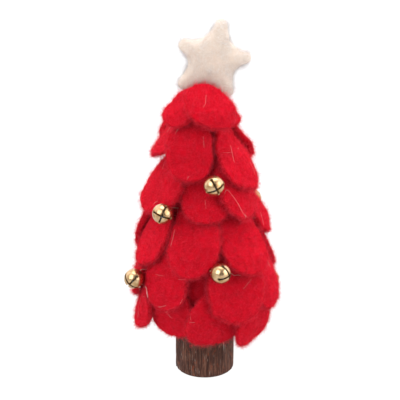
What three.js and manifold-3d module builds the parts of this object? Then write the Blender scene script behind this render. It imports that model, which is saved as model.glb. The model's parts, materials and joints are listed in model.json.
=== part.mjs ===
// A felt Christmas tree that stands on a stub of wood.
// Rounded felt petals overlap in rows on a wool core, from the hem up to a cap under the star.
// Jingle bells hang on one thread that is sewn through the core from bell to bell.

import * as THREE from 'three';
import { mergeVertices } from 'three/addons/utils/BufferGeometryUtils.js';
import Module from 'manifold-3d';

const wasm = await Module();
wasm.setup();

// Sizes are in millimetres and angles in degrees. The front of the tree faces -Y.

// Clearance between two pieces that touch
const FIT = 0.3;

// Trunk, and the peg that joins it to the core
const TRUNK_RADIUS = 15.2;
const TRUNK_HEIGHT = 34.7;
const TRUNK_EDGE_BREAK = 0.8;
const PEG_RADIUS = 4;
const PEG_DEPTH_IN_TRUNK = 16;
const PEG_DEPTH_IN_CORE = 24;

// Wool core. Its side follows a curve through these points, at heights above its underside,
// and the core stops a little short of the crown, where the curve begins
const CROWN_RADIUS = 3.4;
const CROWN_HEIGHT = 120.2;
const CROWN_CUT = 2.8;
const SHOULDER_RADIUS = 15.2;
const SHOULDER_HEIGHT = 74;
const BELLY_RADIUS = 28.2;
const BELLY_HEIGHT = 24;
const BASE_RADIUS = 25;
const HEM_RADIUS = 21;
const HEM_DROP = 16;

// Felt petals. A petal is an egg-shaped piece, fixed at its narrow end
const PETAL_LENGTH = 38;
const PETAL_WIDTH = 26;
const FELT = 3;
const FELT_AT_ROOT = 1.2;
const PRESSED_SHARE = 0.6;
const LAYER_GAP = 0.6;
const PETAL_TAPER = 0.16;
const PETAL_FLATNESS = 1.35;
const RIM_INSET = 0.06;
const PETAL_RISE = 1.5;
const DRAPE_SLOPE = 0.4;
const DRAPE_BRIDGE = 4.5;
const LAYER_RADIUS = 5;

// Rows from the hem up. A row is laid in the order given, each petal over those before it.
// root is a share of the way down the side, and long and wide are shares of a petal's length and width.
// A petal stands at an azimuth. flare is how many felts its tip stands off, up how much higher than its
// row it is fixed, longer and wider how much it is so, and roll how steeply it is turned up on its right.
// taper is how much it narrows to its root, and slant how far it leans to the right as it goes down
const ROWS = [
  {
    name: 'f',
    root: 0.727,
    long: 0.82,
    wide: 0.96,
    petals: [
      { at: -37, up: 0.06, wider: 0.22 }, { at: 145 }, { at: 236 },
      { at: -74, flare: 3, up: 0.03, longer: -0.1 }, { at: 11, wider: 0.2 }, { at: 98 }, { at: 190 },
      { at: 55, flare: 0.6, up: -0.1, wider: 0.1 },
    ],
  },
  {
    name: 'e',
    root: 0.577,
    long: 0.95,
    wide: 1.04,
    petals: [
      { at: -38, up: 0.09 }, { at: 69 }, { at: 172 }, { at: 271, up: 0.08 },
      { at: 25, flare: 0.5 }, { at: 120, flare: 1.9, up: 0.24 }, { at: 222 },
    ],
  },
  {
    name: 'd',
    root: 0.413,
    long: 1.03,
    wide: 1,
    petals: [
      { at: -66, flare: 1.3 }, { at: 39 }, { at: 140 }, { at: 246 },
      { at: -12, flare: 0.33 }, { at: 97, up: 0.21, longer: -0.1, wider: -0.15 }, { at: 193 },
    ],
  },
  {
    name: 'c',
    root: 0.235,
    long: 1,
    wide: 1,
    petals: [
      { at: 0 }, { at: 104, longer: -0.22, wider: -0.25 }, { at: 225 },
      { at: -69, flare: 2.1, wider: 0.27, roll: -0.32 }, { at: 44, wider: -0.08 }, { at: 160 },
    ],
  },
  {
    name: 'b',
    root: 0.093,
    long: 1,
    wide: 0.88,
    petals: [
      { at: -85, flare: 3.3, up: 0.2 }, { at: 52, up: -0.16, wider: -0.02 }, { at: 205 },
      { at: -19, wider: -0.22, taper: 0.4 }, { at: 140 },
    ],
  },
  {
    name: 'a',
    root: 0.036,
    long: 0.53,
    wide: 0.6,
    petals: [{ at: -42, wider: -0.12 }, { at: 80, flare: 0.7 }, { at: 190 }],
  },
  {
    name: 'cap',
    root: 0.018,
    long: 0.6,
    wide: 0.55,
    petals: [{ at: -6, slant: 0.26 }],
  },
];

// Star of soft points, turned a little to the right
const STAR_POINTS = 5;
const STAR_POINT_RADIUS = 19.8;
const STAR_NOTCH_RADIUS = 12.2;
const STAR_THICKNESS = 8;
const STAR_SOFTNESS = 16;
const STAR_TURN = -11;
const STAR_ASIDE = 4;
const STAR_RISE = 11.6;

// Jingle bells
const BELL_RADIUS = 5;
const BELL_WALL = 0.5;
const SLIT_WIDTH = 0.9;
const SLIT_HALF_ANGLE = 66;
const SLIT_HOLE_RADIUS = 0.75;
const LOOP_RADIUS = 1;
const LOOP_WIRE_RADIUS = 0.3;
const LOOP_STANDOFF = 0.55;
const CLAPPER_RADIUS = 1.6;

// Bell places, in the order in which the thread reaches them.
// turn is the azimuth of the stitch, down its share of the way down the side, lean how far the bell
// hangs to one side, and spin how far its slits are turned from the line of the thread
const BELLS = [
  { name: 'bell_1', turn: 6, down: 0.353, lean: 25, spin: 87 },
  { name: 'bell_2', turn: -42.3, down: 0.473, lean: 77, spin: 2 },
  { name: 'bell_3', turn: 215, down: 0.47, lean: 0, spin: 45 },
  { name: 'bell_4', turn: 132, down: 0.513, lean: 0, spin: 45 },
  { name: 'bell_5', turn: 5, down: 0.66, lean: 80, spin: 58 },
  { name: 'bell_6', turn: -66.5, down: 0.716, lean: 62, spin: 20 },
  { name: 'bell_7', turn: 205, down: 0.755, lean: 0, spin: 45 },
  { name: 'bell_8', turn: 118, down: 0.798, lean: 0, spin: 45 },
];
const BELL_GAP = 0.45;

// Sewing thread
const THREAD_RADIUS = 0.25;
const STITCH_HALF_WIDTH = 2;
const STITCH_DEPTH_IN_CORE = 4;
const THREAD_BEND = 1.4;
const THREAD_TAIL = 5;
const EYE_HEIGHT = 0.5;
const STITCH_STEP = 0.5;
const STEEPEST_HANG = 70;

// Facets and steps of the curved faces
const PETAL_ACROSS = 6;
const PETAL_ALONG = 5;
const ROUND_SIDES = 24;
const PEG_SIDES = 16;
const CORE_RINGS = 8;
const STAR_SIDES = 40;
const STAR_RINGS = 8;
const BELL_SIDES = 10;
const BELL_RINGS = 7;
const LOOP_SIDES = 8;
const WIRE_SIDES = 4;
const HOLE_SIDES = 5;
const CLAPPER_SIDES = 8;
const CLAPPER_RINGS = 6;
const THREAD_SIDES = 5;
const THREAD_BEND_STEPS = 2;

// Steps of the searches over the felt and the core
const DRAPE_GRID = 20;
const FELT_GRID = 14;
const CORE_STEP = 3;
const CORE_TURN_STEP = 6;

const UP = new THREE.Vector3(0, 0, 1);
const radians = THREE.MathUtils.degToRad;

// Closed solid from a three.js geometry, with shared corners merged and faces pointing out
function solidOf(geometry) {
  const bare = new THREE.BufferGeometry();
  bare.setAttribute('position', geometry.getAttribute('position'));
  bare.setIndex(geometry.index);
  const merged = mergeVertices(bare, 1e-4);
  const corners = merged.getAttribute('position');
  const at = (index) => new THREE.Vector3().fromBufferAttribute(corners, index);
  const triangles = [];
  let volume = 0;
  for (let i = 0; i < merged.index.count; i += 3) {
    const [a, b, c] = [0, 1, 2].map((k) => merged.index.getX(i + k));
    if (a !== b && b !== c && c !== a) {
      triangles.push([a, b, c]);
      volume += at(a).dot(at(b).cross(at(c)));
    }
  }
  const facing = volume < 0 ? triangles.map((corner) => corner.reverse()) : triangles;
  return new wasm.Manifold(new wasm.Mesh({
    numProp: 3,
    vertProperties: new Float32Array(corners.array),
    triVerts: new Uint32Array(facing.flat()),
  }));
}

function geometryOf(solid) {
  const mesh = solid.getMesh();
  const geometry = new THREE.BufferGeometry();
  const corners = new Float32Array(mesh.vertProperties);
  geometry.setAttribute('position', new THREE.BufferAttribute(corners, 3));
  geometry.setIndex(new THREE.BufferAttribute(new Uint32Array(mesh.triVerts), 1));
  geometry.computeVertexNormals();
  return geometry;
}

// A cut can leave crumbs, so only the largest body is kept
function largestBody(solid) {
  return solid.decompose().reduce((best, body) => (body.volume() > best.volume() ? body : best));
}

function turned(profile, segments) {
  return new THREE.LatheGeometry(profile, segments).rotateX(Math.PI / 2);
}

// Core side: a curve from above the tip of the core down to the hem of the lowest petals
const coreBase = TRUNK_HEIGHT + FIT;
const side = new THREE.SplineCurve([
  new THREE.Vector2(CROWN_RADIUS, coreBase + CROWN_HEIGHT),
  new THREE.Vector2(SHOULDER_RADIUS, coreBase + SHOULDER_HEIGHT),
  new THREE.Vector2(BELLY_RADIUS, coreBase + BELLY_HEIGHT),
  new THREE.Vector2(BASE_RADIUS, coreBase),
  new THREE.Vector2(HEM_RADIUS, coreBase - HEM_DROP),
]);
const sideLength = side.getLength();

// Curve parameters of the two ends of the core: its cut tip and its base, after three of the four spans
const tipShare = side.getUtoTmapping(CROWN_CUT / sideLength);
const baseShare = 3 / 4;
const coreTop = side.getPoint(tipShare).y;

// Point of the core's side, and the direction out of it, at a distance down from the crown
function sideAt(down) {
  const share = THREE.MathUtils.clamp(down / sideLength, 0, 1);
  const point = side.getPointAt(share);
  const tangent = side.getTangentAt(share);
  const over = down - share * sideLength;
  point.addScaledVector(tangent, over);
  return { point, tangent, normal: new THREE.Vector2(-tangent.y, tangent.x) };
}

// Place in space of a point given by distance down the core, azimuth in radians and height off it
function placeOn(down, azimuth, off) {
  const { point, normal } = sideAt(down);
  const radius = point.x + off * normal.x;
  const height = point.y + off * normal.y;
  return new THREE.Vector3(radius * Math.sin(azimuth), -radius * Math.cos(azimuth), height);
}

function wrapAngle(angle) {
  return Math.atan2(Math.sin(angle), Math.cos(angle));
}

class Petal {
  constructor(row, {
    at, flare = 0, up = 0, longer = 0, wider = 0, roll = 0, taper = PETAL_TAPER, slant = 0,
  }) {
    this.row = row;
    this.length = PETAL_LENGTH * (row.long + longer);
    this.width = PETAL_WIDTH * (row.wide + wider);
    this.root = sideLength * row.root - PETAL_LENGTH * up;
    this.azimuth = radians(at);
    this.flare = FELT * flare;
    this.roll = roll;
    this.taper = taper;
    this.slant = slant;
  }

  // Even grid from -1 to 1 across and along
  static grid(acrossSteps, alongSteps) {
    const points = [];
    for (let j = 0; j <= alongSteps; j += 1) {
      for (let i = 0; i <= acrossSteps; i += 1) {
        points.push([2 * i / acrossSteps - 1, 2 * j / alongSteps - 1]);
      }
    }
    return points;
  }

  // Square to disc, so that an even grid fills the round petal
  static rounded(u, v) {
    return [u * Math.sqrt(1 - v * v / 2), v * Math.sqrt(1 - u * u / 2)];
  }

  // Disc to square, the other way
  static squared(x, y) {
    const bend = (first, second) => {
      const sum = 2 + first * first - second * second;
      const turn = 2 * Math.SQRT2 * first;
      return (Math.sqrt(Math.max(0, sum + turn)) - Math.sqrt(Math.max(0, sum - turn))) / 2;
    };
    return [bend(x, y), bend(y, x)];
  }

  // Where a place in the disc lies on the core: distance down, reach to the side and azimuth
  chart(x, y) {
    const down = this.root + this.length * (1 - y) / 2;
    const reach = x * (1 - this.taper * y) * this.width / 2;
    const radius = sideAt(down).point.x + LAYER_RADIUS;
    return { down, reach, radius, azimuth: this.azimuth + (reach + this.lean(down)) / radius };
  }

  lean(down) {
    return this.slant * (down - this.root);
  }

  share(down) {
    return (down - this.root) / this.length;
  }

  // A petal by itself: flatter than the core, rising from its root and curved over towards its tip
  freeHeight({ down, reach, radius }) {
    const share = this.share(down);
    const flat = reach * reach / 2 * (1 - 1 / PETAL_FLATNESS) / radius;
    const bent = this.flare * share * share + this.roll * reach * share;
    return FIT + flat + PETAL_RISE * share * (2 - share) + bent;
  }

  // The root is pressed thin under the petals above it, and the free end keeps the full felt
  thickness(down) {
    const spread = THREE.MathUtils.smoothstep(this.share(down), 0, PRESSED_SHARE);
    return THREE.MathUtils.lerp(FELT_AT_ROOT, FELT, spread);
  }

  // The petal drapes over those already laid, no steeper than felt bends
  layOver(laid) {
    const humps = [];
    for (const [u, v] of Petal.grid(DRAPE_GRID, DRAPE_GRID)) {
      const place = this.chart(...Petal.rounded(u, v));
      const height = heightOf(laid, place.down, place.azimuth);
      if (height > 0) humps.push({ ...place, need: height + LAYER_GAP - this.freeHeight(place) });
    }
    this.drape = Petal.grid(PETAL_ACROSS, PETAL_ALONG).map(([u, v]) => {
      const place = this.chart(...Petal.rounded(u, v));
      return humps.reduce((raised, hump) => {
        const apart = Math.hypot(place.down - hump.down, place.reach - hump.reach);
        return Math.max(raised, hump.need - DRAPE_SLOPE * Math.max(0, apart - DRAPE_BRIDGE));
      }, 0);
    });
  }

  // Drape between the corners of the grid
  drapeAt(u, v) {
    const column = THREE.MathUtils.clamp((u + 1) / 2, 0, 1) * PETAL_ACROSS;
    const line = THREE.MathUtils.clamp((v + 1) / 2, 0, 1) * PETAL_ALONG;
    const i = Math.min(Math.floor(column), PETAL_ACROSS - 1);
    const j = Math.min(Math.floor(line), PETAL_ALONG - 1);
    const at = (di, dj) => this.drape[(j + dj) * (PETAL_ACROSS + 1) + i + di];
    const near = THREE.MathUtils.lerp(at(0, 0), at(1, 0), column - i);
    const far = THREE.MathUtils.lerp(at(0, 1), at(1, 1), column - i);
    return THREE.MathUtils.lerp(near, far, line - j);
  }

  // Height of the outer face over a point of the core, or 0 beside the petal
  heightOver(down, azimuth) {
    const y = 1 - 2 * this.share(down);
    if (Math.abs(y) >= 1) return 0;
    const radius = sideAt(down).point.x + LAYER_RADIUS;
    const reach = wrapAngle(azimuth - this.azimuth) * radius - this.lean(down);
    const x = reach / ((1 - this.taper * y) * this.width / 2);
    if (x * x + y * y > 1) return 0;
    const drape = this.drapeAt(...Petal.squared(x, y));
    return this.freeHeight({ down, reach, radius }) + drape + this.thickness(down);
  }

  // Place of a point of the grid, on the outer or the inner face
  faceAt(u, v, outside) {
    const inset = outside ? 1 - RIM_INSET : 1;
    const place = this.chart(...Petal.rounded(u * inset, v * inset));
    const height = this.freeHeight(place) + this.drapeAt(u * inset, v * inset);
    return placeOn(place.down, place.azimuth, height + (outside ? this.thickness(place.down) : 0));
  }

  geometry() {
    const geometry = new THREE.BoxGeometry(2, 2, 1, PETAL_ACROSS, PETAL_ALONG, 1);
    const corners = geometry.getAttribute('position');
    for (let i = 0; i < corners.count; i += 1) {
      const place = this.faceAt(corners.getX(i), corners.getY(i), corners.getZ(i) > 0);
      corners.setXYZ(i, place.x, place.y, place.z);
    }
    return geometry;
  }
}

function heightOf(petals, down, azimuth) {
  return petals.reduce((height, petal) => Math.max(height, petal.heightOver(down, azimuth)), 0);
}

function layPetals() {
  const laid = [];
  for (const row of ROWS) {
    for (const spec of row.petals) {
      const petal = new Petal(row, spec);
      petal.layOver(laid);
      laid.push(petal);
    }
  }
  return laid;
}

// Star: a ball drawn out to soft points and pressed flat, with a full crown on both faces
function starGeometry(grow) {
  const geometry = new THREE.SphereGeometry(1, STAR_SIDES, STAR_RINGS);
  const corners = geometry.getAttribute('position');
  const half = Math.PI / STAR_POINTS;
  const soft = radians(STAR_SOFTNESS);
  const notch = STAR_NOTCH_RADIUS * Math.sin(half);
  const sharp = STAR_POINT_RADIUS * STAR_NOTCH_RADIUS * Math.sin(half - soft)
    / (notch - STAR_POINT_RADIUS * Math.sin(soft));
  const outline = (angle) => {
    const fromPoint = Math.abs(wrapAngle(angle * STAR_POINTS)) / STAR_POINTS;
    const eased = Math.min(half, Math.hypot(fromPoint, soft));
    return sharp * notch / (sharp * Math.sin(eased) + STAR_NOTCH_RADIUS * Math.sin(half - eased));
  };
  for (let i = 0; i < corners.count; i += 1) {
    const spread = Math.hypot(corners.getX(i), corners.getZ(i));
    const angle = Math.atan2(corners.getX(i), corners.getZ(i));
    const radius = (outline(angle) + grow) * Math.sqrt(spread);
    const thick = (STAR_THICKNESS / 2 + grow) * corners.getY(i);
    corners.setXYZ(i, radius * Math.sin(angle), thick, radius * Math.cos(angle));
  }
  const place = new THREE.Matrix4().makeRotationY(radians(-STAR_TURN));
  place.setPosition(STAR_ASIDE, 0, coreTop + STAR_RISE);
  return geometry.applyMatrix4(place);
}

// Bell shell with its loop on top: a hollow ball, slit twice across its lower half, crosswise
function bellShell(spin) {
  const ball = (radius) => solidOf(
    new THREE.SphereGeometry(radius, BELL_SIDES, BELL_RINGS).rotateX(Math.PI / 2),
  );
  const loop = new THREE.TorusGeometry(LOOP_RADIUS, LOOP_WIRE_RADIUS, WIRE_SIDES, LOOP_SIDES);
  loop.rotateY(Math.PI / 2).translate(0, 0, BELL_RADIUS + LOOP_STANDOFF);
  let shell = ball(BELL_RADIUS).add(solidOf(loop)).subtract(ball(BELL_RADIUS - BELL_WALL));
  const holeHeight = -BELL_RADIUS * Math.cos(radians(SLIT_HALF_ANGLE));
  const across = 3 * BELL_RADIUS;
  for (const turn of [spin, spin + 90]) {
    const slit = new THREE.BoxGeometry(across, SLIT_WIDTH, BELL_RADIUS);
    slit.translate(0, 0, holeHeight - BELL_RADIUS / 2).rotateZ(radians(turn));
    const holes = new THREE.CylinderGeometry(SLIT_HOLE_RADIUS, SLIT_HOLE_RADIUS, across, HOLE_SIDES);
    holes.rotateZ(Math.PI / 2).translate(0, 0, holeHeight).rotateZ(radians(turn));
    shell = shell.subtract(solidOf(slit)).subtract(solidOf(holes));
  }
  return geometryOf(shell);
}

function clapperGeometry() {
  return new THREE.SphereGeometry(CLAPPER_RADIUS, CLAPPER_SIDES, CLAPPER_RINGS);
}

// Distance from the centre of a bell to the nearest of its inner facets
const bellInside = (BELL_RADIUS - BELL_WALL)
  * Math.cos(Math.PI / BELL_SIDES) * Math.cos(Math.PI / (2 * BELL_RINGS));

// Thread centre to bell centre when the thread lies in the middle of the loop's eye
const eyeToBell = BELL_RADIUS + (LOOP_STANDOFF + LOOP_RADIUS - LOOP_WIRE_RADIUS) / 2;
const loopReach = BELL_RADIUS + LOOP_STANDOFF + LOOP_RADIUS + LOOP_WIRE_RADIUS - eyeToBell;

// Stitch frame of a bell: the way out of the felt, the way that the bell hangs, and the thread.
// The bell hangs by its eye against the felt, on as short a stitch as lets it clear the felt
function stitchOf(bell, petals, surface) {
  const azimuth = radians(bell.turn);
  const down = sideLength * bell.down;
  const { tangent, normal } = sideAt(down);
  const outward = new THREE.Vector3(Math.sin(azimuth), -Math.cos(azimuth), 0);
  const out = outward.clone().multiplyScalar(normal.x).addScaledVector(UP, normal.y);
  const fall = outward.clone().multiplyScalar(tangent.x).addScaledVector(UP, tangent.y);
  fall.applyAxisAngle(out, radians(bell.lean));
  const clear = BELL_RADIUS + BELL_GAP;
  let off = heightOf(petals, down, azimuth) + EYE_HEIGHT;
  for (;;) {
    const eye = placeOn(down, azimuth, off);
    for (let angle = 0; angle <= STEEPEST_HANG; angle += 1) {
      const centre = eye.clone()
        .addScaledVector(fall, eyeToBell * Math.cos(radians(angle)))
        .addScaledVector(out, eyeToBell * Math.sin(radians(angle)));
      if (surface.every((point) => point.distanceTo(centre) >= clear)) {
        return { eye, centre, off, out, fall, thread: fall.clone().cross(out) };
      }
    }
    off += STITCH_STEP;
  }
}

// Route along straight runs with rounded corners, one sample at each of its points
class Route extends THREE.Curve {
  constructor(corners, bend, steps) {
    super();
    this.points = [corners[0]];
    for (let i = 1; i < corners.length - 1; i += 1) {
      const before = corners[i - 1].clone().sub(corners[i]);
      const after = corners[i + 1].clone().sub(corners[i]);
      const start = corners[i].clone().add(before.setLength(bend));
      const end = corners[i].clone().add(after.setLength(bend));
      const arc = new THREE.QuadraticBezierCurve3(start, corners[i], end);
      this.points.push(...arc.getPoints(steps));
    }
    this.points.push(corners[corners.length - 1]);
  }

  getPoint(share, target = new THREE.Vector3()) {
    const place = share * (this.points.length - 1);
    const index = Math.min(Math.floor(place), this.points.length - 2);
    return target.lerpVectors(this.points[index], this.points[index + 1], place - index);
  }

  getPointAt(share, target) {
    return this.getPoint(share, target);
  }

  getTangentAt(share, target = new THREE.Vector3()) {
    const index = Math.round(share * (this.points.length - 1));
    const before = this.points[Math.max(index - 1, 0)];
    const after = this.points[Math.min(index + 1, this.points.length - 1)];
    return target.subVectors(after, before).normalize();
  }

  tube(radius, sides) {
    const ring = new THREE.EllipseCurve(0, 0, radius, radius).getPoints(sides).slice(0, -1);
    return new THREE.ExtrudeGeometry(new THREE.Shape(ring), {
      extrudePath: this,
      steps: this.points.length - 1,
      bevelEnabled: false,
    });
  }
}

// The thread comes out of the felt beside each eye, passes through it and goes back in
function threadRoute(stitches) {
  const corners = [];
  for (const { eye, off, out, thread } of stitches) {
    const inward = out.clone().multiplyScalar(-off - STITCH_DEPTH_IN_CORE);
    const left = eye.clone().addScaledVector(thread, -STITCH_HALF_WIDTH);
    const right = eye.clone().addScaledVector(thread, STITCH_HALF_WIDTH);
    corners.push(left.clone().add(inward), left, right, right.clone().add(inward));
  }
  const tail = (end, stitch) => end.clone().addScaledVector(stitch.out, -THREAD_TAIL);
  corners.unshift(tail(corners[0], stitches[0]));
  corners.push(tail(corners[corners.length - 1], stitches[stitches.length - 1]));
  return new Route(corners, THREAD_BEND, THREAD_BEND_STEPS);
}

function trunkGeometry() {
  const bore = PEG_RADIUS + FIT;
  const boreFloor = TRUNK_HEIGHT - PEG_DEPTH_IN_TRUNK - FIT;
  return turned([
    new THREE.Vector2(0, 0),
    new THREE.Vector2(TRUNK_RADIUS - TRUNK_EDGE_BREAK, 0),
    new THREE.Vector2(TRUNK_RADIUS, TRUNK_EDGE_BREAK),
    new THREE.Vector2(TRUNK_RADIUS, TRUNK_HEIGHT - TRUNK_EDGE_BREAK),
    new THREE.Vector2(TRUNK_RADIUS - TRUNK_EDGE_BREAK, TRUNK_HEIGHT),
    new THREE.Vector2(bore, TRUNK_HEIGHT),
    new THREE.Vector2(bore, boreFloor),
    new THREE.Vector2(0, boreFloor),
  ], ROUND_SIDES);
}

function pegGeometry() {
  const length = PEG_DEPTH_IN_TRUNK + PEG_DEPTH_IN_CORE;
  const peg = new THREE.CylinderGeometry(PEG_RADIUS, PEG_RADIUS, length, PEG_SIDES).rotateX(Math.PI / 2);
  return peg.translate(0, 0, TRUNK_HEIGHT - PEG_DEPTH_IN_TRUNK + length / 2);
}

function coreGeometry() {
  const bore = PEG_RADIUS + FIT;
  const boreRoof = TRUNK_HEIGHT + PEG_DEPTH_IN_CORE + FIT;
  const profile = [new THREE.Vector2(0, coreTop)];
  for (let i = 0; i <= CORE_RINGS; i += 1) {
    profile.push(side.getPoint(THREE.MathUtils.lerp(tipShare, baseShare, i / CORE_RINGS)));
  }
  profile.push(new THREE.Vector2(bore, coreBase));
  profile.push(new THREE.Vector2(bore, boreRoof));
  profile.push(new THREE.Vector2(0, boreRoof));
  return turned(profile, ROUND_SIDES);
}

const tree = new THREE.Group();

function addPiece(name, geometry, finish) {
  const mesh = new THREE.Mesh(geometry, new THREE.MeshStandardMaterial(finish));
  mesh.name = name;
  tree.add(mesh);
  return mesh;
}

const redFelt = { color: 0xc81828, roughness: 0.95, metalness: 0 };
const creamFelt = { color: 0xe9dccf, roughness: 0.95, metalness: 0 };
const bark = { color: 0x5b3d33, roughness: 0.9, metalness: 0 };
const beech = { color: 0xc9a877, roughness: 0.7, metalness: 0 };
const brass = { color: 0xc8a15a, roughness: 0.25, metalness: 1 };
const steel = { color: 0x8d8f92, roughness: 0.4, metalness: 1 };
const cotton = { color: 0xe8c9bf, roughness: 0.9, metalness: 0 };

const petals = layPetals();

// Points all over the felt and the core, which the bells rest on
function softPoints() {
  const points = [];
  for (const petal of petals) {
    for (const [u, v] of Petal.grid(FELT_GRID, FELT_GRID)) {
      points.push(petal.faceAt(u, v, true), petal.faceAt(u, v, false));
    }
  }
  for (let down = 0; down < sideLength; down += CORE_STEP) {
    for (let turn = 0; turn < 360; turn += CORE_TURN_STEP) points.push(placeOn(down, radians(turn), 0));
  }
  return points;
}

const softSurface = softPoints();
const stitches = BELLS.map((bell) => stitchOf(bell, petals, softSurface));
const route = threadRoute(stitches);

// The star and the stitches press into the felt and the core, which are cut clear of them
const dimple = (stitch) => new THREE.SphereGeometry(loopReach + FIT, BELL_SIDES, BELL_RINGS)
  .translate(stitch.eye.x, stitch.eye.y, stitch.eye.z);
const stitchRoom = stitches.reduce(
  (room, stitch) => room.add(solidOf(dimple(stitch))),
  solidOf(route.tube(THREAD_RADIUS + FIT, THREAD_SIDES)),
);
const starRoom = solidOf(starGeometry(FIT));
const pressed = (geometry) => geometryOf(
  largestBody(solidOf(geometry).subtract(stitchRoom).subtract(starRoom)),
);

addPiece('trunk', trunkGeometry(), bark);
addPiece('trunk_peg', pegGeometry(), beech);
addPiece('core', pressed(coreGeometry()), redFelt);
for (const row of ROWS) {
  petals.filter((petal) => petal.row === row).forEach((petal, index) => {
    addPiece(`petal_${row.name}${index + 1}`, pressed(petal.geometry()), redFelt);
  });
}
addPiece('star', starGeometry(0), creamFelt);
addPiece('bell_thread', route.tube(THREAD_RADIUS, THREAD_SIDES), cotton);

BELLS.forEach(({ name, spin }, index) => {
  const stitch = stitches[index];
  const top = stitch.eye.clone().sub(stitch.centre).normalize();
  const shell = addPiece(`${name}_shell`, bellShell(spin), brass);
  shell.position.copy(stitch.centre);
  shell.quaternion.setFromRotationMatrix(
    new THREE.Matrix4().makeBasis(stitch.thread, top.clone().cross(stitch.thread), top),
  );
  const clapper = addPiece(`${name}_clapper`, clapperGeometry(), steel);
  clapper.position.copy(stitch.centre).addScaledVector(UP, CLAPPER_RADIUS + FIT - bellInside);
});

export default tree;
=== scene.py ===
"""A felt Christmas tree on a stub of wood, dressed for a white studio.

Felt petals overlap on a wool core under a cream star, and brass jingle bells hang on a cotton
thread. Sizes are in metres and angles in degrees unless a name or a comment says otherwise, +Z is
up, and the front of the tree faces -Y.
"""

import json
import logging
import math
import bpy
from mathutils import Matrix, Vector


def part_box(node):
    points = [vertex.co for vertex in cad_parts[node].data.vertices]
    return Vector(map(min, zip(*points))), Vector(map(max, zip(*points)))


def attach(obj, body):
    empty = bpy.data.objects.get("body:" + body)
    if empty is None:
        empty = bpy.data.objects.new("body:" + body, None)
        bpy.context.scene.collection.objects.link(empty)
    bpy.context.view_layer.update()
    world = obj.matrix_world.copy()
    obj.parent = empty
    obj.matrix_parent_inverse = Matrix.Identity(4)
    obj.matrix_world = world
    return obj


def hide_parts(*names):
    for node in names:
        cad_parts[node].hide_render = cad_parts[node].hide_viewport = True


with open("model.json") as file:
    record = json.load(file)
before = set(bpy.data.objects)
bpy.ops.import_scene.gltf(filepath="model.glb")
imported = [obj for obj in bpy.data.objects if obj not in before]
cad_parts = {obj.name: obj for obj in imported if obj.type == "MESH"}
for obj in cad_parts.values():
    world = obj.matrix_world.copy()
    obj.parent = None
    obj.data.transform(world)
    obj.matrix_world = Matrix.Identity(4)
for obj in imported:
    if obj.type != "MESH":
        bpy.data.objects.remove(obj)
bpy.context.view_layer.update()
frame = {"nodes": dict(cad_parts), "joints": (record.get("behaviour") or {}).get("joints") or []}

import zlib
from dataclasses import dataclass, field
from enum import Enum
from typing import Any, Sequence

import bmesh
import bpy
import numpy as np
from bpy.types import Material, Mesh, Node, NodeSocket as Socket, NodeTree, Object
from mathutils import Matrix, Vector, noise
from mathutils.bvhtree import BVHTree

LOG = logging.getLogger("felt_tree")
MM = 0.001
TREE = "tree"
TIP = "tip"
HAIR_STEPS = (0.0, 0.55, 1.0)
SOFTEN_STEPS = (0.6, -0.63)
NOISE_SEED = 3
RawMesh = tuple[np.ndarray, np.ndarray]


class Slot(Enum):
    """Material slots of the record that a piece can take its finish from."""

    RED_FELT = "red_felt"
    CREAM_FELT = "cream_felt"
    BARK = "bark"
    BRASS = "brass"
    STEEL = "steel"
    COTTON = "cotton"


def linear(code: str) -> tuple[float, float, float, float]:
    """Turns an sRGB hex colour into linear light.

    Args:
        code: Six hex digits, with or without a leading hash.

    Returns:
        Red, green, blue and an alpha of 1.
    """
    parts = [int(code.lstrip("#")[i:i + 2], 16) / 255 for i in (0, 2, 4)]
    bent = [c / 12.92 if c <= 0.04045 else ((c + 0.055) / 1.055) ** 2.4 for c in parts]
    return (bent[0], bent[1], bent[2], 1.0)


def per_metre(size_mm: float) -> float:
    """Scale of a texture whose features are this many millimetres apart."""
    return 1 / (size_mm * MM)


def add_node(
    tree: NodeTree,
    kind: str,
    inputs: dict[Any, Any] | None = None,
    settings: dict[str, Any] | None = None,
    stops: Sequence[tuple[float, str]] = (),
) -> Node:
    """Adds a node with its settings and links.

    Args:
        tree: Node tree that the node goes into.
        kind: Blender's name of the node type.
        inputs: Input by name or number, with a value to set or an output to link.
        settings: Attributes of the node itself.
        stops: Places and sRGB colours of a colour ramp.

    Returns:
        The new node.
    """
    node = tree.nodes.new(kind)
    for name, value in (settings or {}).items():
        setattr(node, name, value)
    for key, value in (inputs or {}).items():
        if isinstance(value, Socket):
            tree.links.new(value, node.inputs[key])
        else:
            node.inputs[key].default_value = value
    for index, (place, code) in enumerate(stops):
        ramp = node.color_ramp.elements
        stop = ramp[index] if index < len(ramp) else ramp.new(place)
        stop.position = place
        stop.color = linear(code)
    return node


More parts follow.
